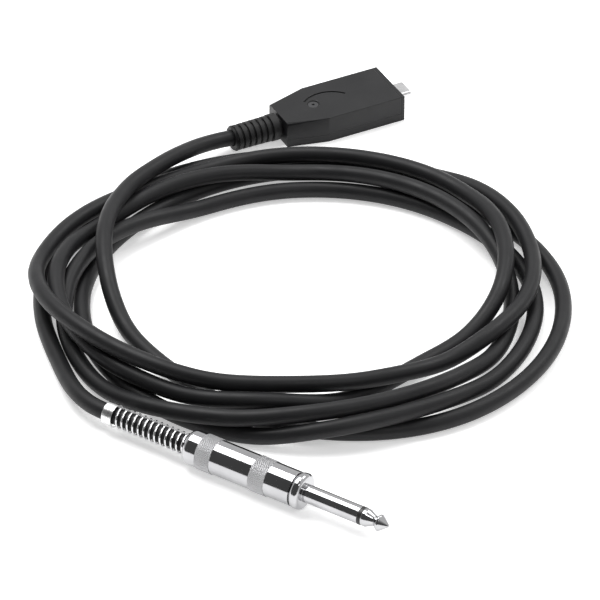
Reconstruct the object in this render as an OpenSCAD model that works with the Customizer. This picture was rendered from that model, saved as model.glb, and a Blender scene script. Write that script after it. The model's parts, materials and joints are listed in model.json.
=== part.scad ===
// Instrument cable: a USB-C audio interface housing, a loosely coiled round cable
// and a 6.35 mm two-pole jack plug with a spring strain relief.
// Frame: +X runs along the interface towards the USB-C plug, +Z is up, and the origin is
// on the resting surface under the middle of the interface, strain relief and plug shell.

/* [Interface housing] */
// Width of the housing across its straight part
body_w = 22.5; // [20:0.5:26]
// Height of the housing
body_h = 10.4; // [10:0.2:12]
// Length of the straight part, end cap included
straight_l = 31.5; // [29:0.5:36]
// Length of the tapered rear part
taper_l = 15.5; // [12:0.5:20]
// Width of the rear end face
rear_w = 15; // [14:0.5:18]
// Wall thickness of the shells
wall = 1.4; // [1.2:0.1:1.6]
// Height of the parting line between the two shells
parting_z = 3.2; // [3:0.1:3.6]
// Thickness of the front end cap
cap_t = 1.6; // [1.2:0.2:2]

/* [USB-C plug] */
// Width of the plug shell
usb_w = 8.25; // [8.2:0.01:8.3]
// Thickness of the plug shell
usb_h = 2.4; // [2.36:0.01:2.44]
// Length that stands out of the end cap
usb_out = 6.65; // [6.2:0.05:6.7]

/* [Cable] */
// Outer diameter of the cable
cable_d = 6; // [5.6:0.1:6]
// Length of the moulded strain relief
relief_l = 19.35; // [16:0.05:24]

/* [Cable coil] */
// Half width of the coil's outer outline along its long axis
coil_rx = 96; // [92:1:100]
// Half width of the coil's outer outline along its short axis
coil_ry = 81; // [79:1:83]
// Width of the band that the turns fill
coil_band = 25; // [18:1:30]
// Height of the piled turns
coil_h = 18; // [14:1:20]

/* [Jack plug] */
// Diameter of the plug shaft
shaft_d = 6.35; // [6.33:0.01:6.37]
// Length of the shaft in front of the collar
shaft_l = 32.3; // [30:0.1:33]
// Diameter of the barrel
barrel_d = 12.3; // [12:0.1:12.4]
// Length of the barrel behind the collar
barrel_l = 43.2; // [41:0.1:46]
// Diameter of the front collar
collar_d = 12.9; // [12.9:0.1:14]
// Number of coils in the spring behind the barrel
spring_turns = 13; // [10:1:14]

/* [Hidden] */
$fn = 64;

// Places along the interface
total_l = usb_out + straight_l + taper_l + relief_l;
front_x = total_l / 2 - usb_out;
shoulder_x = front_x - straight_l;
rear_x = shoulder_x - taper_l;
shell_front_x = front_x - cap_t;
axis_z = body_h / 2;
gap = 0.1;

// Indicator and groove in the top face
lens_x = shoulder_x - 1;
lens_r = 2;
lens_recess = 0.8;
lens_bevel = 0.35;
groove_r = 11.2;
groove_w = 0.8;
groove_depth = 0.5;
groove_x = lens_x + 4.95;
groove_y = -6;
groove_from = -42;
groove_to = 53;
facets = [[30, 0.45], [70, 0.35]];

// Circuit board
board_t = 1.2;
board_w = 15;
board_l = 30;
board_z = axis_z - usb_h / 2 - board_t;
board_x = shell_front_x - 3.4 - board_l;
board_top = board_z + board_t;
post_d = 2.4;

// Strain relief
relief_root_r = 5.15;
relief_end_r = 4.9;
relief_groove = 1;
relief_gap = 0.7;
relief_slots = 6;
relief_neck_r = 3.75;
root_collar_l = 3.9;
end_collar_l = 1.2;
flange_l = 2.2;
flange_w = 10;

// Cable inside the housing
cable_r = cable_d / 2;
cable_end_x = rear_x + 4;
crimp_r = cable_r + 0.5;
core_r = 0.9;

// Jack plug, drawn along +Z: z = 0 is the collar's front face and the tip points up.
jack_pos = [-107.9, -199.55, collar_d / 2];
jack_turn = -60;
shaft_r = shaft_d / 2;
barrel_r = barrel_d / 2;
collar_r = collar_d / 2;
collar_l = 3.6;
boss_r = barrel_r - 0.85;
boss_l = 9.6;
bore_r = 1.95;
tube_r = 1.85;
rod_r = 1.2;
ring_z = 21.4;
ring_t = 1.3;
barrel_front = -collar_l - gap;
barrel_rear = barrel_front - barrel_l;
barrel_back_t = 3;
barrel_bore_r = boss_r + 0.05;
band_rise = 0.2;
band_places = [[-40.8, -35], [-19.4, -13.4]];
washer_z = -collar_l - boss_l;
lug_z = washer_z - 0.8;
clamp_z = -33;
clamp_l = 5;
jacket_end_z = clamp_z + clamp_l;

// Spring behind the barrel
wire_r = 0.4;
spring_r = 3.55;
spring_end_z = barrel_rear - 29;
spring_hold_r = 4.5;
hold_turns = 1.5;
hold_z = barrel_rear + barrel_back_t;
spring_pitch = (barrel_rear - spring_end_z) / spring_turns;
ferrule_l = 4.2;
ferrule_r = 4.1;
ferrule_play = 0.65;

// Route of the cable from its end in the housing, through the strain relief, to the coil
LEAD_ROUTE = [
  [cable_end_x, 0, axis_z], [-25, 0, axis_z], [rear_x - relief_l, 0, axis_z], [-42, -0.2, 5.1],
  [-50, -2, 5], [-58, -5.2, 6], [-66, -9, 8], [-73, -12.6, 10]
];
// Route from the coil to the jack, ending at the cable clamp inside the barrel
TAIL_ROUTE = [
  [-147.2, -82, 3.2], [-149, -92, 3.2], [-150.6, -101, 3.4], [-151.8, -109.5, 4.1],
  [-151.9, -117.5, 5.4], [-150.4, -125.05, 6.35], jack_point(-80), jack_point(-72),
  jack_point(-60), jack_point(-44), jack_point(jacket_end_z)
];
coil_pos = [-57.8, -95.8, 0];
coil_turn = -27;
tube_sides = 10;

// Point on the jack's axis at a height z of the jack's own frame
function jack_point(z) = jack_pos + z * [cos(jack_turn), sin(jack_turn), 0];

function unit(v) = v / norm(v);

// Direction of a route at its point i
function heading(route, i) =
  let (last = len(route) - 1)
  unit(route[min(i + 1, last)] - route[max(i - 1, 0)]);

// One ring of a tube around a route's point i; the route never runs along the reference axis
function tube_ring(route, i, r, sides, reference) =
  let (
    t = heading(route, i),
    side = unit(cross(t, reference)),
    up = cross(side, t)
  )
  [for (k = [0:sides - 1])
    route[i] + r * (cos(360 * k / sides) * side + sin(360 * k / sides) * up)];

// Closed tube swept along a route
module swept_tube(route, r, sides, reference = [0, 0, 1]) {
  rings = len(route);
  points = [for (i = [0:rings - 1]) each tube_ring(route, i, r, sides, reference)];
  start_face = [[for (k = [0:sides - 1]) k]];
  end_face = [[for (k = [sides - 1:-1:0]) (rings - 1) * sides + k]];
  side_faces = [for (i = [0:rings - 2], k = [0:sides - 1])
    [i * sides + k, (i + 1) * sides + k,
     (i + 1) * sides + (k + 1) % sides, i * sides + (k + 1) % sides]];
  polyhedron(points = points, faces = concat(start_face, side_faces, end_face), convexity = 8);
}

// Outline of the housing seen from above, pulled in by inset, from the rear to x = front
module housing_outline(inset, front) {
  half = body_w / 2 - inset;
  rear_half = rear_w / 2 - inset;
  polygon([
    [rear_x + inset, -rear_half], [shoulder_x, -half], [front, -half],
    [front, half], [shoulder_x, half], [rear_x + inset, rear_half]
  ]);
}

// Slab of the housing outline between two heights
module housing_slab(inset, front, z0, z1) {
  translate([0, 0, z0]) linear_extrude(z1 - z0) housing_outline(inset, front);
}

// Flat rounded bar of the USB-C outline, along X
module usb_bar(w, h, x0, x1) {
  r = h / 2;
  translate([x0, 0, axis_z]) rotate([90, 0, 90]) linear_extrude(x1 - x0) union() {
    square([w - h, h], center = true);
    for (side = [-1, 1]) translate([side * (w - h) / 2, 0]) circle(r = r);
  }
}

// Two narrow facets along the top edge of each tapered side, which fade out at the shoulder
module taper_facets() {
  lean = atan((body_w - rear_w) / 2 / taper_l);
  for (side = [0, 1], facet = facets) mirror([0, side, 0])
    translate([shoulder_x, body_w / 2, body_h]) rotate([0, 0, lean]) rotate([-facet[0], 0, 0])
      rotate([0, -atan(facet[1] / taper_l), 0])
        translate([-1.5 * taper_l, -taper_l / 4, 0]) cube([1.6 * taper_l, taper_l / 2, 3]);
}

// Hole for the strain relief's neck in the rear wall
module relief_cut() {
  translate([rear_x - 1, 0, axis_z]) rotate([0, 90, 0])
    cylinder(r = relief_neck_r + 0.05, h = wall + 1.01);
}

module jack_frame() {
  translate(jack_pos) rotate([0, 90, jack_turn]) children();
}

module upper_shell() {
  color([0.08, 0.08, 0.08]) difference() {
    housing_slab(0, shell_front_x, parting_z, body_h);
    housing_slab(wall, shell_front_x + 1, parting_z - 1, body_h - wall);
    relief_cut();
    translate([lens_x, 0, body_h - lens_recess]) cylinder(r = lens_r + gap, h = 1);
    translate([lens_x, 0, body_h - lens_bevel])
      cylinder(r1 = lens_r + gap, r2 = lens_r + gap + 2 * lens_bevel, h = 2 * lens_bevel);
    taper_facets();
    intersection() {
      translate([groove_x, groove_y, body_h - groove_depth]) difference() {
        cylinder(r = groove_r + groove_w / 2, h = 1);
        translate([0, 0, -1]) cylinder(r = groove_r - groove_w / 2, h = 3);
      }
      translate([groove_x, groove_y, body_h - 1]) linear_extrude(2) polygon([
        [0, 0], 2 * groove_r * [sin(groove_from), cos(groove_from)],
        [0, 2 * groove_r], 2 * groove_r * [sin(groove_to), cos(groove_to)]
      ]);
    }
  }
}

module lower_shell() {
  color([0.07, 0.07, 0.07]) {
    difference() {
      housing_slab(0, shell_front_x, 0, parting_z);
      housing_slab(wall, shell_front_x + 1, wall, parting_z + 1);
      relief_cut();
    }
    for (x = [board_x + 4, board_x + board_l - 8], y = [-5.5, 5.5])
      translate([x, y, wall - 0.2]) cylinder(d = post_d, h = board_z - wall + 0.2);
  }
}

module end_cap() {
  color([0.05, 0.05, 0.05]) difference() {
    translate([shell_front_x, -body_w / 2, 0]) cube([cap_t, body_w, body_h]);
    usb_bar(usb_w + 0.2, usb_h + 0.2, shell_front_x - 1, front_x + 1);
  }
}

module indicator_lens() {
  color([0.16, 0.16, 0.17]) translate([lens_x, 0, body_h - lens_recess]) difference() {
    cylinder(r = lens_r, h = 0.45);
    translate([0, 0, 0.15]) cylinder(r = 0.55, h = 1);
  }
}

module usb_shell() {
  color([0.8, 0.8, 0.82]) difference() {
    usb_bar(usb_w, usb_h, shell_front_x - 3, front_x + usb_out);
    usb_bar(usb_w - 0.6, usb_h - 0.6, shell_front_x - 4, front_x + usb_out + 1);
  }
}

module usb_insulator() {
  color([0.1, 0.1, 0.1]) difference() {
    usb_bar(usb_w - 0.64, usb_h - 0.64, shell_front_x - 3, front_x + usb_out - 0.4);
    translate([front_x + 0.6, -3.2, axis_z - 0.38]) cube([usb_out, 6.4, 0.76]);
  }
}

module usb_contacts() {
  color([0.85, 0.7, 0.3]) for (k = [0:11], side = [-1, 1])
    translate([front_x + 1, (k - 5.5) * 0.5 - 0.12, axis_z + side * 0.3 - 0.07])
      cube([usb_out - 2, 0.24, 0.14]);
}

module usb_overmould() {
  color([0.12, 0.12, 0.12]) difference() {
    translate([shell_front_x - 3.2, -5, axis_z - 2.4]) cube([3.1, 10, 4.8]);
    usb_bar(usb_w + 0.02, usb_h + 0.02, shell_front_x - 4, front_x);
  }
}

module circuit_board() {
  color([0.05, 0.3, 0.16])
    translate([board_x, -board_w / 2, board_z]) cube([board_l, board_w, board_t]);
}

module codec_chip() {
  color([0.06, 0.06, 0.07]) {
    translate([board_x + 15, -2.5, board_top + 0.1]) cube([5, 5, 0.9]);
    for (k = [0:5], side = [-1, 1])
      translate([board_x + 15.4 + k * 0.75, side * 2.9 - 0.4, board_top]) cube([0.3, 0.8, 0.2]);
  }
}

module clock_crystal() {
  color([0.75, 0.75, 0.78])
    translate([board_x + 22.5, -1.6, board_top]) cube([2.5, 3.2, 0.8]);
}

module chip_capacitors() {
  color([0.6, 0.5, 0.38]) for (k = [0:3], side = [-1, 1])
    translate([board_x + 14 + k * 2.4, side * 5.6 - 0.4, board_top]) cube([1.6, 0.8, 0.8]);
}

module status_led() {
  color([0.9, 0.9, 0.85]) translate([lens_x - 0.8, -0.6, board_top]) cube([1.6, 1.2, 0.8]);
}

// Moulded sleeve: a flange inside the housing, a root collar, slotted ribs and an end collar
module strain_relief() {
  ribs_l = relief_l - root_collar_l - end_collar_l;
  step = ribs_l / relief_slots;
  taper = (relief_root_r - relief_end_r) / relief_l;
  color([0.06, 0.06, 0.06]) difference() {
    union() {
      translate([rear_x, 0, axis_z]) rotate([0, -90, 0]) rotate_extrude() polygon(concat(
        [[0, -wall - 0.5], [relief_neck_r, -wall - 0.5], [relief_neck_r, relief_gap],
         [relief_root_r - 0.4, relief_gap], [relief_root_r, relief_gap + 0.4],
         [relief_root_r, root_collar_l]],
        [for (k = [0:relief_slots - 1], corner = [0:3])
          let (
            x = root_collar_l + (k + [0, 0.4, 0.4, 1][corner]) * step,
            rib_r = relief_root_r - 0.15 - taper * x
          )
          [corner < 2 ? rib_r - relief_groove : rib_r, x]],
        [[relief_end_r - 0.4, relief_l - end_collar_l], [relief_end_r, relief_l - end_collar_l + 0.5],
         [relief_end_r, relief_l - 0.8], [relief_end_r - 0.5, relief_l], [0, relief_l]]
      ));
      translate([rear_x + wall + 0.05, -flange_w / 2, wall + 0.1])
        cube([flange_l, flange_w, body_h - 2 * wall - 0.2]);
    }
    translate([rear_x - relief_l - 1, 0, axis_z]) rotate([0, 90, 0])
      cylinder(r = cable_r + 0.02, h = relief_l + 10);
  }
}

module cable_crimp() {
  color([0.7, 0.68, 0.6]) translate([cable_end_x, 0, axis_z]) rotate([0, 90, 0]) difference() {
    cylinder(r = crimp_r, h = 1.6);
    translate([0, 0, -1]) cylinder(r = core_r * 2.2, h = 4);
  }
}

// Insulated inner conductor from the crimp up to the board
module signal_wire() {
  color([0.75, 0.1, 0.08]) swept_tube([
    [cable_end_x + 0.2, 0.9, axis_z], [cable_end_x + 2.4, 1, axis_z],
    [cable_end_x + 4, 1.5, axis_z + 0.3], [board_x + 3, 2.2, board_top + core_r * 0.8 + 0.05]
  ], core_r * 0.8, 10);
}

// Twisted screen from the crimp up to the board
module shield_wire() {
  color([0.72, 0.45, 0.25]) swept_tube([
    [cable_end_x + 0.2, -0.9, axis_z], [cable_end_x + 2.4, -1, axis_z],
    [cable_end_x + 4, -1.5, axis_z + 0.3], [board_x + 3, -2.2, board_top + core_r * 0.8 + 0.05]
  ], core_r * 0.8, 10);
}

module cable_lead() {
  color([0.1, 0.1, 0.1]) swept_tube(LEAD_ROUTE, cable_r, tube_sides);
}

// Band that the loosely piled turns of the cable fill
module cable_coil() {
  steps = 72;
  inner_rx = coil_rx - coil_band - 4;
  inner_ry = coil_ry - coil_band + 3;
  color([0.12, 0.12, 0.12]) translate(coil_pos) rotate([0, 0, coil_turn]) linear_extrude(coil_h)
    difference() {
      polygon([for (k = [0:steps - 1])
        [coil_rx * cos(360 * k / steps), coil_ry * sin(360 * k / steps)]]);
      polygon([for (k = [0:steps - 1])
        [inner_rx * cos(360 * k / steps), inner_ry * sin(360 * k / steps)]]);
    }
}

module cable_tail() {
  color([0.1, 0.1, 0.1]) swept_tube(TAIL_ROUTE, cable_r, tube_sides);
}

// Turned sleeve contact: shaft, rounded collar and the boss that the barrel screws on
module plug_sleeve() {
  round_r = 1.5;
  color([0.82, 0.82, 0.84]) jack_frame() rotate_extrude() polygon(concat(
    [[bore_r, washer_z], [boss_r, washer_z], [boss_r, -collar_l]],
    [for (a = [-90:15:0]) [collar_r - round_r + round_r * cos(a), -collar_l + round_r + round_r * sin(a)]],
    [for (a = [0:15:90]) [collar_r - round_r + round_r * cos(a), -round_r + round_r * sin(a)]],
    [[shaft_r, 0], [shaft_r, ring_z], [bore_r, ring_z]]
  ));
}

// Insulating sleeve with the black ring that parts tip and shaft
module tip_insulator() {
  color([0.06, 0.06, 0.06]) jack_frame() rotate_extrude() polygon([
    [rod_r + 0.02, washer_z + 0.01], [tube_r, washer_z + 0.01], [tube_r, ring_z],
    [shaft_r, ring_z], [shaft_r, ring_z + ring_t], [rod_r + 0.02, ring_z + ring_t]
  ]);
}

// Tip contact with its waist, its long rod and the rod's peened end
module plug_tip() {
  base = ring_z + ring_t;
  color([0.84, 0.84, 0.85]) jack_frame() rotate_extrude() polygon([
    [0, lug_z - 1], [rod_r + 0.5, lug_z - 0.8], [rod_r + 0.6, lug_z - 0.5], [rod_r, lug_z - 0.5],
    [rod_r, base], [shaft_r - 0.1, base], [shaft_r - 0.02, base + 0.3], [shaft_r - 0.05, base + 1.5],
    [1.95, base + 3.9], [1.85, base + 4.3], [2.05, base + 4.7], [2.85, base + 5.7],
    [2.95, base + 6.1], [2.85, base + 6.5], [0.75, shaft_l - 0.5], [0.4, shaft_l - 0.1], [0, shaft_l]
  ]);
}

module rear_washer() {
  color([0.35, 0.22, 0.12]) jack_frame() translate([0, 0, lug_z]) difference() {
    cylinder(r = cable_r - 0.05, h = washer_z - lug_z);
    translate([0, 0, -1]) cylinder(r = rod_r + 0.02, h = 4);
  }
}

// Solder lug of the tip contact
module tip_lug() {
  color([0.8, 0.76, 0.62]) jack_frame() {
    translate([0, 0, lug_z - 0.5]) difference() {
      cylinder(r = 2.6, h = 0.5);
      translate([0, 0, -1]) cylinder(r = rod_r + 0.02, h = 4);
    }
    translate([2.1, -1.2, lug_z - 5]) cube([0.5, 2.4, 5]);
  }
}

// Solder lug of the sleeve contact, with the strip and the ring that grip the cable
module sleeve_lug() {
  strip_x = -cable_r - 0.65;
  color([0.8, 0.78, 0.68]) jack_frame() {
    translate([strip_x, -1.5, clamp_z]) cube([0.6, 3, washer_z - clamp_z]);
    translate([0, 0, clamp_z]) difference() {
      cylinder(r = cable_r + 0.6, h = clamp_l);
      translate([0, 0, -1]) cylinder(r = cable_r + 0.02, h = clamp_l + 2);
      translate([cable_r - 0.4, -1, -1]) cube([3, 2, clamp_l + 2]);
    }
  }
}

module insulating_tube() {
  color([0.1, 0.1, 0.1]) jack_frame() translate([0, 0, -38]) difference() {
    cylinder(r = boss_r - 0.25, h = 38 + lug_z - 0.6);
    translate([0, 0, -1]) cylinder(r = boss_r - 0.6, h = 40);
  }
}

module jack_signal_core() {
  color([0.75, 0.1, 0.08]) jack_frame() swept_tube([
    [0.9, 0, jacket_end_z], [1, 0, jacket_end_z + 2], [1.2, 0, lug_z - 6.5], [1.2, 0, lug_z - 2.5]
  ], core_r * 0.9, 10, [1, 0, 0]);
}

module jack_shield_tail() {
  color([0.72, 0.45, 0.25]) jack_frame() swept_tube([
    [-0.9, 0, jacket_end_z], [-1, 0, jacket_end_z + 2], [-2, 0, lug_z - 9], [-2.2, 0, lug_z - 5]
  ], core_r * 0.9, 10, [1, 0, 0]);
}

// Screw-on barrel with a rounded rear end and two slightly raised bands
module barrel() {
  round_r = 2.4;
  color([0.85, 0.85, 0.87]) jack_frame() difference() {
    union() {
      translate([0, 0, barrel_rear]) rotate_extrude() polygon(concat(
        [[0, 0]],
        [for (a = [-90:10:0])
          [barrel_r - round_r + round_r * cos(a), round_r + round_r * sin(a)]],
        [[barrel_r, barrel_l], [0, barrel_l]]
      ));
      for (band = band_places)
        translate([0, 0, band[0]]) cylinder(r = barrel_r + band_rise, h = band[1] - band[0]);
    }
    translate([0, 0, hold_z]) cylinder(r = barrel_bore_r, h = barrel_l);
    translate([0, 0, barrel_rear - 1]) cylinder(r = spring_r + wire_r + 0.1, h = barrel_l);
  }
}

// Open helical spring whose last coils widen behind the barrel's rear wall
module relief_spring() {
  steps_per_turn = 16;
  total_turns = spring_turns + hold_turns + 1;
  steps = total_turns * steps_per_turn;
  function coil_z(turns) =
    turns < spring_turns + 1 ? spring_end_z + spring_pitch * turns
    : hold_z + wire_r + 0.05 + (turns - spring_turns - 1) * wire_r * 2.1;
  function coil_r(turns) =
    turns < spring_turns + 1.2 ? spring_r
    : min(spring_hold_r, spring_r + (turns - spring_turns - 1.2) * 3);
  color([0.6, 0.6, 0.62]) jack_frame() swept_tube([for (i = [0:steps])
    let (turns = i / steps_per_turn)
    [coil_r(turns) * cos(360 * turns), coil_r(turns) * sin(360 * turns), coil_z(turns)]
  ], wire_r, 6);
}

module spring_ferrule() {
  color([0.8, 0.8, 0.8]) jack_frame() translate([0, 0, spring_end_z - ferrule_l]) difference() {
    cylinder(r = ferrule_r, h = ferrule_l - wire_r);
    translate([0, 0, -1]) cylinder(r = cable_r + ferrule_play, h = ferrule_l + 2);
  }
}

upper_shell();
lower_shell();
end_cap();
indicator_lens();
usb_shell();
usb_insulator();
usb_contacts();
usb_overmould();
circuit_board();
codec_chip();
clock_crystal();
chip_capacitors();
status_led();
strain_relief();
cable_crimp();
signal_wire();
shield_wire();
cable_lead();
cable_coil();
cable_tail();
plug_sleeve();
tip_insulator();
plug_tip();
rear_washer();
tip_lug();
sleeve_lug();
insulating_tube();
jack_signal_core();
jack_shield_tail();
barrel();
relief_spring();
spring_ferrule();
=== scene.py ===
import json
import math

import bpy
import numpy as np
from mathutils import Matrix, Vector

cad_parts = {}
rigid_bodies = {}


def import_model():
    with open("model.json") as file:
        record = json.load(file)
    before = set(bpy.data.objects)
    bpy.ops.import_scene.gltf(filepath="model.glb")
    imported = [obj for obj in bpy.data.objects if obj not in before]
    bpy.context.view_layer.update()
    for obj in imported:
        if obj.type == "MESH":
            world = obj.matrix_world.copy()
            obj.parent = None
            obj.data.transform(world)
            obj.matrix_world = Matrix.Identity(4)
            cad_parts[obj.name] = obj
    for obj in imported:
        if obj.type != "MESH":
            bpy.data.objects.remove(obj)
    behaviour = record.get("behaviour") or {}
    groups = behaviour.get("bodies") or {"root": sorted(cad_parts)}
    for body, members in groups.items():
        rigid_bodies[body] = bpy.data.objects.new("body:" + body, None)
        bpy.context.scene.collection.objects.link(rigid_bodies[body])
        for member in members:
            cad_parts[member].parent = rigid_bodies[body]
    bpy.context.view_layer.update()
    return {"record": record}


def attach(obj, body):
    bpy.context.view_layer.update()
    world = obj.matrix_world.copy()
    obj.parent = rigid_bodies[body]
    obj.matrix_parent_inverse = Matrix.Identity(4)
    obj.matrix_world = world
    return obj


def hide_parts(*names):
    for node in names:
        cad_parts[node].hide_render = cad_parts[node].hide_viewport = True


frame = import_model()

MM = 0.001
ROOT = "cable_assembly"

# ---------------------------------------------------------------- camera

CAMERA_TARGET = Vector((-56.6, -94.7, 0.0)) * MM
CAMERA_DISTANCE = 1579 * MM
CAMERA_ELEVATION = math.radians(36.3)
CAMERA_BEARING = math.radians(-117.1)   # of the camera from its target, in plan


def add_camera():
    level = math.cos(CAMERA_ELEVATION)
    back = Vector((level * math.cos(CAMERA_BEARING),
                   level * math.sin(CAMERA_BEARING),
                   math.sin(CAMERA_ELEVATION)))
    data = bpy.data.cameras.new("camera")
    data.sensor_width = 36
    data.lens = 268.4
    data.clip_start = 0.05
    data.clip_end = 20
    camera = bpy.data.objects.new("camera", data)
    camera.location = CAMERA_TARGET + CAMERA_DISTANCE * back
    camera.rotation_euler = (-back).to_track_quat("-Z", "Y").to_euler()
    bpy.context.collection.objects.link(camera)
    bpy.context.scene.camera = camera


# ---------------------------------------------------------------- the cable

CABLE_D = 6.0
CABLE_RADIUS = CABLE_D / 2
# The two ends that are not coiled. The y values of the lead's last four points follow a
# separate script's fit, adjusted by hand. The tail's points were chosen by hand, guided by
# places that a separate script worked out.
LEAD_ROUTE = [(-13.15, 0, 5.2), (-25, 0, 5.2), (-36.5, 0, 5.2), (-42, -0.2, 5.1),
              (-50, -2, 5), (-58, -5.2, 6), (-66, -9, 8), (-73, -12.6, 10)]
JACK_POS = np.array([-107.9, -199.55, 6.45])
JACK_DIRECTION = np.array([0.5, -math.sqrt(0.75), 0])


def jack_point(z):
    """A point on the jack's axis; z runs towards the tip from the collar's face, in mm."""
    return tuple(JACK_POS + z * JACK_DIRECTION)


TAIL_ROUTE = [(-147.2, -82, 3.2), (-149, -92, 3.2), (-150.6, -101, 3.4), (-151.8, -109.5, 4.1),
              (-151.9, -117.5, 5.4), (-150.4, -125.05, 6.35), jack_point(-80), jack_point(-72),
              jack_point(-60), jack_point(-44), jack_point(-28)]

# The loose coil: how far the cable lies from the coil's middle at every eighth of a
# turn, in mm, one row for each turn. FIRST_EIGHTH is the bearing of the first value.
# These radii are not chosen by hand: a separate script fitted them to the coil's outline.
COIL_CENTRE = (-57.8, -95.8)
FIRST_EIGHTH = 62.9
TURNS = [
    (97, 82, 67, 62, 76, 90, 93, 82),
    (77, 73, 76, 79, 83, 83, 83, 72),
    (65, 65, 81, 86, 79, 77, 75, 72),
    (70, 76, 85, 78, 67, 58, 72, 81),
    (80, 83, 92, 75, 62, 65, 82, 88),
    (86, 88, 91, 92),
]
COIL_FROM = 46      # degrees of winding after FIRST_EIGHTH where the lead joins the coil
COIL_TO = 1874      # and where the coil hands over to the tail
COIL_STEP = 6
# Where the last turn straightens out on its way to the tail, worked out by a separate script
HANDOVER = [(-126.2, -36.7, 3.1), (-132.4, -44.5, 3.1), (-137.6, -53.2, 3.1), (-141.8, -62.6, 3.1),
            (-145, -72.2, 3.1)]

# Each turn lies on the ones before it, but for its two ends: the lead stays on top as far as
# the first of these, and the tail dives under all but the first turn after the second.
LEAD_ON_TOP_TO = 113
TAIL_UNDER_FROM = 1745
LEVEL_OF_LEAD = 9
LEVEL_OF_TAIL = 1.2
HUMP_RADIUS = 70    # how long and low the cable's humps over itself are, in mm
CLEARANCE = 0.15


def smooth_through(values, at):
    """Catmull-Rom curve through evenly spaced values, at the places in at."""
    values = np.asarray(values, float)
    first = np.clip(np.floor(at).astype(int), 0, len(values) - 2)
    t = (at - first).reshape((-1,) + (1,) * (values.ndim - 1))
    before, start, end, after = (values[np.clip(first + k, 0, len(values) - 1)] for k in (-1, 0, 1, 2))
    return 0.5 * (2 * start + (end - before) * t
                  + (2 * before - 5 * start + 4 * end - after) * t ** 2
                  + (3 * start - before - 3 * end + after) * t ** 3)


def coil_plan():
    """The coil's turns seen from above, with the degrees of winding at each point."""
    radii = [r for turn in TURNS for r in turn]
    winding = np.arange(COIL_FROM, COIL_TO, COIL_STEP)
    radius = smooth_through(radii, winding / 45)
    bearing = np.radians(winding + FIRST_EIGHTH)
    x = COIL_CENTRE[0] + radius * np.cos(bearing)
    y = COIL_CENTRE[1] + radius * np.sin(bearing)
    return np.stack([x, y], axis=1), winding


def evenly(points, step):
    """The same line with its points a fixed distance apart."""
    along = np.r_[0, np.cumsum(np.linalg.norm(np.diff(points, axis=0), axis=1))]
    at = np.linspace(0, along[-1], int(along[-1] / step) + 1)
    return np.stack([np.interp(at, along, points[:, k]) for k in range(points.shape[1])], axis=1), at


def pile_up(plan, resting, level):
    """Heights of the cable where its turns lie on one another."""
    along = np.r_[0, np.cumsum(np.linalg.norm(np.diff(plan, axis=0), axis=1))]
    apart = np.linalg.norm(plan[:, None] - plan[None], axis=2)
    distance = np.abs(along[:, None] - along[None])
    reach = CABLE_D + CLEARANCE
    over = (apart < reach) & (level[:, None] > level[None]) & (distance > 40)
    rise = np.sqrt(np.maximum(reach ** 2 - apart ** 2, 0))
    droop = distance ** 2 / (2 * HUMP_RADIUS)
    height = resting.copy()
    for _ in range(14):
        propped = np.maximum(np.where(over, height[None] + rise, 0).max(axis=1), resting)
        height = (propped[None] - droop).max(axis=1)
    weight = np.exp(-(distance / 7) ** 2 / 2)
    smooth = weight @ height / weight.sum(axis=1)
    return np.maximum(smooth, resting)


def cable_line():
    """The whole centreline from the crimp in the housing to the clamp in the plug, in mm."""
    turns, winding = coil_plan()
    floor = np.full(len(turns), CABLE_RADIUS + 0.1)
    rows = np.vstack([
        np.c_[np.array(LEAD_ROUTE), np.full(len(LEAD_ROUTE), COIL_FROM - 1)],
        np.c_[turns, floor, winding],
        np.c_[np.array(HANDOVER + TAIL_ROUTE), np.full(len(HANDOVER + TAIL_ROUTE), COIL_TO)]])
    rows = smooth_through(rows, np.arange(0, len(rows) - 1 + 0.01, 0.1))
    rows, _ = evenly(rows, 3.0)
    level = rows[:, 3] / 360
    level[rows[:, 3] < LEAD_ON_TOP_TO] = LEVEL_OF_LEAD
    level[rows[:, 3] > TAIL_UNDER_FROM] = LEVEL_OF_TAIL
    rows[:, 2] = pile_up(rows[:, :2], rows[:, 2], level)
    return rows[:, :3]


def add_cable(line):
    curve = bpy.data.curves.new("instrument_cord", "CURVE")
    curve.dimensions = "3D"
    curve.bevel_depth = 1       # scaled by each point's radius, so that the curve's box is its own
    curve.bevel_resolution = 6
    curve.use_fill_caps = True
    spline = curve.splines.new("POLY")
    spline.points.add(len(line) - 1)
    spline.points.foreach_set("co", np.c_[line * MM, np.ones(len(line))].ravel())
    spline.points.foreach_set("radius", np.full(len(line), CABLE_RADIUS * MM))
    spline.use_smooth = True
    cord = bpy.data.objects.new("instrument_cord", curve)
    bpy.context.collection.objects.link(cord)
    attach(cord, ROOT)
    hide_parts("cable_lead", "cable_coil", "cable_tail")
    return cord


add_camera()
LINE = cable_line()
CORD = add_cable(LINE)


# ---------------------------------------------------------------- materials

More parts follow.
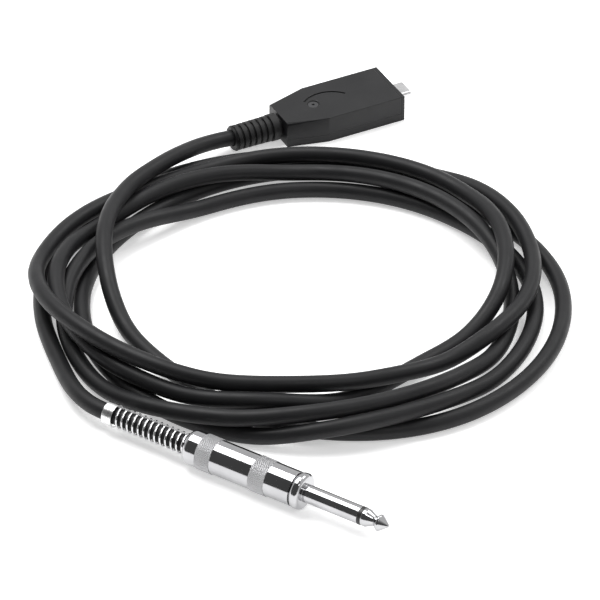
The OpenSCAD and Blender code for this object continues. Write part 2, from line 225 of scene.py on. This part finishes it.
class Look:
    """A procedural material that is built up one step at a time."""

    def __init__(self, name, color, roughness, metallic=0.0, **sockets):
        self.material = bpy.data.materials.new(name)
        self.material.use_nodes = True
        self.tree = self.material.node_tree
        self.shader = self.tree.nodes["Principled BSDF"]
        self.set("Base Color", (*color, 1))
        self.set("Roughness", roughness)
        self.set("Metallic", metallic)
        for socket, value in sockets.items():
            self.set(socket.replace("_", " "), value)
        self.material.diffuse_color = (*color, 1)
        self.height = None

    def set(self, socket, value):
        self.shader.inputs[socket].default_value = value

    def add(self, kind, **settings):
        node = self.tree.nodes.new(kind)
        for key, value in settings.items():
            if key in node.inputs:
                node.inputs[key].default_value = value
            else:
                setattr(node, key, value)
        return node

    def join(self, output, target):
        self.tree.links.new(output, target)

    def place(self):
        return self.add("ShaderNodeTexCoord").outputs["Object"]

    def noise(self, scale, detail=4.0):
        node = self.add("ShaderNodeTexNoise")
        node.inputs["Scale"].default_value = scale
        node.inputs["Detail"].default_value = detail
        self.join(self.place(), node.inputs["Vector"])
        return node.outputs["Fac"]

    def cells(self, scale):
        node = self.add("ShaderNodeTexVoronoi")
        node.inputs["Scale"].default_value = scale
        self.join(self.place(), node.inputs["Vector"])
        return node.outputs["Distance"]

    def between(self, value, low, high, from_low=0.3, from_high=0.7):
        node = self.add("ShaderNodeMapRange")
        node.inputs["From Min"].default_value = from_low
        node.inputs["From Max"].default_value = from_high
        node.inputs["To Min"].default_value = low
        node.inputs["To Max"].default_value = high
        self.join(value, node.inputs["Value"])
        return node.outputs["Result"]

    def colors(self, value, low, high, from_low=0.3, from_high=0.7):
        ramp = self.add("ShaderNodeValToRGB")
        ramp.color_ramp.elements[0].position = from_low
        ramp.color_ramp.elements[0].color = (*low, 1)
        ramp.color_ramp.elements[1].position = from_high
        ramp.color_ramp.elements[1].color = (*high, 1)
        self.join(value, ramp.inputs["Fac"])
        self.join(ramp.outputs["Color"], self.shader.inputs["Base Color"])
        return ramp.outputs["Color"]

    def roughness(self, value, low, high, from_low=0.3, from_high=0.7):
        self.join(self.between(value, low, high, from_low, from_high), self.shader.inputs["Roughness"])

    def math(self, operation, first, second=0.0):
        node = self.add("ShaderNodeMath", operation=operation)
        for slot, value in enumerate((first, second)):
            if isinstance(value, bpy.types.NodeSocket):
                self.join(value, node.inputs[slot])
            else:
                node.inputs[slot].default_value = value
        return node.outputs["Value"]

    def blend_roughness(self, mask, rough):
        """Where the mask is 1 the surface has this roughness instead of its own."""
        own = self.shader.inputs["Roughness"].links[0].from_socket
        blend = self.add("ShaderNodeMix")
        blend.inputs["B"].default_value = rough
        self.join(mask, blend.inputs["Factor"])
        self.join(own, blend.inputs["A"])
        self.join(blend.outputs["Result"], self.shader.inputs["Roughness"])

    def bump(self, value, strength, depth):
        """depth is in metres; several bumps add up."""
        node = self.add("ShaderNodeBump")
        node.inputs["Strength"].default_value = strength
        node.inputs["Distance"].default_value = depth
        self.join(value, node.inputs["Height"])
        if self.height is not None:
            self.join(self.height, node.inputs["Normal"])
        self.height = node.outputs["Normal"]
        self.join(self.height, self.shader.inputs["Normal"])

    def soft_edges(self, radius):
        node = self.add("ShaderNodeBevel")
        node.samples = 6
        node.inputs["Radius"].default_value = radius
        self.height = node.outputs["Normal"]
        self.join(self.height, self.shader.inputs["Normal"])


# The barrel's knurled bands, in mm from the collar's face, and how many ridges go round it
BANDS = ((-40.8, -35), (-19.4, -13.4))
KNURLS = 44
KNURL_SLANT = 7000


def cable_look():
    look = Look("cable_jacket_look", (0.014, 0.014, 0.015), 0.45, Specular_IOR_Level=0.22)
    wide = look.noise(45, 3)
    fine = look.noise(1500, 2)
    look.colors(wide, (0.011, 0.011, 0.012), (0.018, 0.018, 0.019))
    look.roughness(look.noise(160, 5), 0.40, 0.52)
    look.bump(fine, 0.25, 0.00004)
    look.bump(wide, 0.10, 0.0006)
    return look.material


def housing_look(name, dark, light, rough):
    look = Look(name, light, rough, Specular_IOR_Level=0.28)
    look.soft_edges(0.0004)
    look.colors(look.noise(70, 4), dark, light)
    look.roughness(look.noise(220, 6), rough - 0.05, rough + 0.08)
    look.bump(look.cells(2600), 0.18, 0.00003)
    look.bump(look.noise(900, 3), 0.10, 0.00004)
    return look.material


def rubber_look():
    look = Look("relief_rubber_look", (0.012, 0.012, 0.012), 0.5, Specular_IOR_Level=0.3)
    look.soft_edges(0.0003)
    look.colors(look.noise(90, 4), (0.008, 0.008, 0.009), (0.018, 0.018, 0.018))
    look.roughness(look.noise(260, 5), 0.42, 0.6)
    look.bump(look.noise(1400, 3), 0.3, 0.00005)
    return look.material


def metal(name, dark, light, rough_low, rough_high):
    look = Look(name, light, rough_low, metallic=1.0)
    look.soft_edges(0.0002)
    look.colors(look.noise(120, 5), dark, light)
    look.roughness(look.noise(340, 6), rough_low, rough_high)
    look.bump(look.noise(1200, 4), 0.12, 0.00002)
    return look


def metal_look(*tones):
    return metal(*tones).material


def chrome_look():
    """Polished chrome with two satin bands of fine diamond knurling around the barrel."""
    look = metal("barrel_chrome_look", (0.44, 0.44, 0.45), (0.50, 0.50, 0.51), 0.05, 0.12)
    where = look.add("ShaderNodeTexCoord")
    local = look.add("ShaderNodeMapping", vector_type="TEXTURE")
    local.inputs["Location"].default_value = JACK_POS * MM
    local.inputs["Rotation"].default_value = (0, 0, math.radians(-60))
    parts = look.add("ShaderNodeSeparateXYZ")
    look.join(where.outputs["Object"], local.inputs["Vector"])
    look.join(local.outputs["Vector"], parts.inputs["Vector"])
    along, across, up = (parts.outputs[axis] for axis in "XYZ")
    angle = look.math("ARCTAN2", up, across)
    inside = 0
    for start, end in BANDS:
        middle = look.math("ADD", along, -(start + end) / 2 * MM)
        near = look.math("LESS_THAN", look.math("ABSOLUTE", middle), (end - start) / 2 * MM)
        inside = look.math("ADD", near, inside)
    lines = []
    for slant in (-1, 1):
        turned = look.math("MULTIPLY", angle, KNURLS * slant)
        lines.append(look.math("SINE", look.math("ADD", turned, look.math("MULTIPLY", along, KNURL_SLANT))))
    knurl = look.math("MULTIPLY", look.math("MAXIMUM", *lines), inside)
    look.bump(knurl, 1.0, 0.00012)
    look.blend_roughness(inside, 0.38)
    return look.material


def plastic_look(name, dark, light, rough_low, rough_high):
    look = Look(name, light, rough_low)
    look.soft_edges(0.00015)
    look.colors(look.noise(200, 4), dark, light)
    look.roughness(look.noise(500, 5), rough_low, rough_high)
    look.bump(look.noise(1800, 3), 0.2, 0.00003)
    return look.material


def lens_look():
    look = Look("lens_plastic_look", (0.01, 0.01, 0.012), 0.18, Coat_Weight=0.6)
    look.colors(look.noise(400, 3), (0.006, 0.006, 0.008), (0.015, 0.015, 0.018))
    look.roughness(look.noise(700, 4), 0.14, 0.26)
    look.bump(look.noise(2500, 2), 0.1, 0.00001)
    return look.material


LOOKS = {
    "housing_plastic": housing_look("housing_plastic_look", (0.010, 0.010, 0.011), (0.016, 0.016, 0.017), 0.36),
    "cap_plastic": housing_look("cap_plastic_look", (0.009, 0.009, 0.010), (0.014, 0.014, 0.015), 0.40),
    "lens_plastic": lens_look(),
    "usb_steel": metal_look("usb_steel_look", (0.60, 0.60, 0.60), (0.72, 0.72, 0.73), 0.22, 0.36),
    "dark_insulator": plastic_look("dark_insulator_look", (0.010, 0.010, 0.010), (0.02, 0.02, 0.02), 0.35, 0.5),
    "gold_contacts": metal_look("gold_contacts_look", (0.75, 0.52, 0.20), (0.90, 0.66, 0.30), 0.18, 0.3),
    "board_laminate": plastic_look("board_laminate_look", (0.010, 0.06, 0.03), (0.02, 0.10, 0.05), 0.35, 0.5),
    "chip_plastic": plastic_look("chip_plastic_look", (0.015, 0.015, 0.016), (0.03, 0.03, 0.03), 0.5, 0.65),
    "plated_metal": metal_look("plated_metal_look", (0.62, 0.62, 0.62), (0.75, 0.75, 0.75), 0.2, 0.32),
    "ceramic": plastic_look("ceramic_look", (0.42, 0.33, 0.22), (0.55, 0.44, 0.30), 0.45, 0.6),
    "led_plastic": plastic_look("led_plastic_look", (0.70, 0.70, 0.60), (0.85, 0.85, 0.75), 0.2, 0.35),
    "relief_rubber": rubber_look(),
    "red_insulation": plastic_look("red_insulation_look", (0.35, 0.02, 0.02), (0.5, 0.04, 0.03), 0.4, 0.55),
    "bare_copper": metal_look("bare_copper_look", (0.70, 0.32, 0.18), (0.88, 0.45, 0.28), 0.25, 0.4),
    "cable_jacket": cable_look(),
    "plug_nickel": metal_look("plug_nickel_look", (0.45, 0.45, 0.46), (0.52, 0.52, 0.53), 0.06, 0.13),
    "fibre_washer": plastic_look("fibre_washer_look", (0.012, 0.012, 0.012), (0.03, 0.03, 0.03), 0.4, 0.6),
    "plated_brass": metal_look("plated_brass_look", (0.66, 0.62, 0.50), (0.80, 0.76, 0.64), 0.2, 0.34),
    "barrel_chrome": chrome_look(),
    "spring_steel": metal_look("spring_steel_look", (0.62, 0.62, 0.63), (0.75, 0.75, 0.76), 0.16, 0.28),
    "ferrule_steel": metal_look("ferrule_steel_look", (0.72, 0.72, 0.72), (0.84, 0.84, 0.84), 0.22, 0.36),
}


def dress(obj, material):
    if obj.material_slots:
        for place in obj.material_slots:
            place.material = material
    else:
        obj.data.materials.append(material)


CORD.data.materials.append(LOOKS["cable_jacket"])
for row in frame["record"]["subparts"]:
    dress(bpy.data.objects[row["node"]], LOOKS[row["material_slot"]])


# ---------------------------------------------------------------- floor and light

FLOOR_GLOW = 0.45   # the floor is a lit table, as for catalogue pictures


def add_floor():
    mesh = bpy.data.meshes.new("floor")
    half = 2.5
    corners = [(-half, -half, 0), (half, -half, 0), (half, half, 0), (-half, half, 0)]
    mesh.from_pydata(corners, [], [(0, 1, 2, 3)])
    floor = bpy.data.objects.new("floor", mesh)
    bpy.context.collection.objects.link(floor)
    look = Look("floor_look", (0.9, 0.9, 0.9), 0.6)
    look.roughness(look.noise(8, 3), 0.55, 0.7)
    look.colors(look.noise(3, 2), (0.88, 0.88, 0.88), (0.91, 0.91, 0.91))
    look.set("Emission Color", (1, 1, 1, 1))
    look.set("Emission Strength", FLOOR_GLOW)
    floor.data.materials.append(look.material)


def add_panel(name, bearing, elevation, distance, width, height, power):
    """A soft box that faces the middle of the object; bearing is in plan, in degrees."""
    data = bpy.data.lights.new(name, "AREA")
    data.shape = "RECTANGLE"
    data.size = width
    data.size_y = height
    data.energy = power
    lamp = bpy.data.objects.new(name, data)
    a, e = math.radians(bearing), math.radians(elevation)
    back = Vector((math.cos(e) * math.cos(a), math.cos(e) * math.sin(a), math.sin(e)))
    lamp.location = CAMERA_TARGET + distance * back
    lamp.rotation_euler = (-back).to_track_quat("-Z", "Y").to_euler()
    bpy.context.collection.objects.link(lamp)


# The unlit side of the room, which the camera stands in, and how bright the two sides are
DARK_SIDE = (-0.72, -0.48, 0.50)
DARK_FROM = 0.30
DARK_TO = 0.62
SKY_BRIGHT = 0.80
SKY_DARK = 0.09


def add_world():
    world = bpy.data.worlds.new("studio")
    bpy.context.scene.world = world
    world.use_nodes = True
    tree = world.node_tree
    sky = tree.nodes["Background"]
    sky.inputs["Color"].default_value = (1, 1, 1, 1)
    where = tree.nodes.new("ShaderNodeTexCoord")
    facing = tree.nodes.new("ShaderNodeVectorMath")
    facing.operation = "DOT_PRODUCT"
    facing.inputs[1].default_value = DARK_SIDE
    fade = tree.nodes.new("ShaderNodeMapRange")
    fade.inputs["From Min"].default_value = DARK_FROM
    fade.inputs["From Max"].default_value = DARK_TO
    fade.inputs["To Min"].default_value = SKY_BRIGHT
    fade.inputs["To Max"].default_value = SKY_DARK
    tree.links.new(where.outputs["Generated"], facing.inputs[0])
    tree.links.new(facing.outputs["Value"], fade.inputs["Value"])
    tree.links.new(fade.outputs["Result"], sky.inputs["Strength"])


add_floor()
add_panel("key_panel", 110, 66, 1.6, 1.1, 0.8, 20)
add_panel("right_panel", 10, 50, 1.7, 0.8, 0.6, 8)
add_panel("front_panel", -86, 52, 1.7, 0.4, 0.4, 3)
add_world()
bpy.context.scene.view_settings.view_transform = "Standard"


# ---------------------------------------------------------------- sizes

def corners(box):
    return [list(box[0]), list(box[1])]
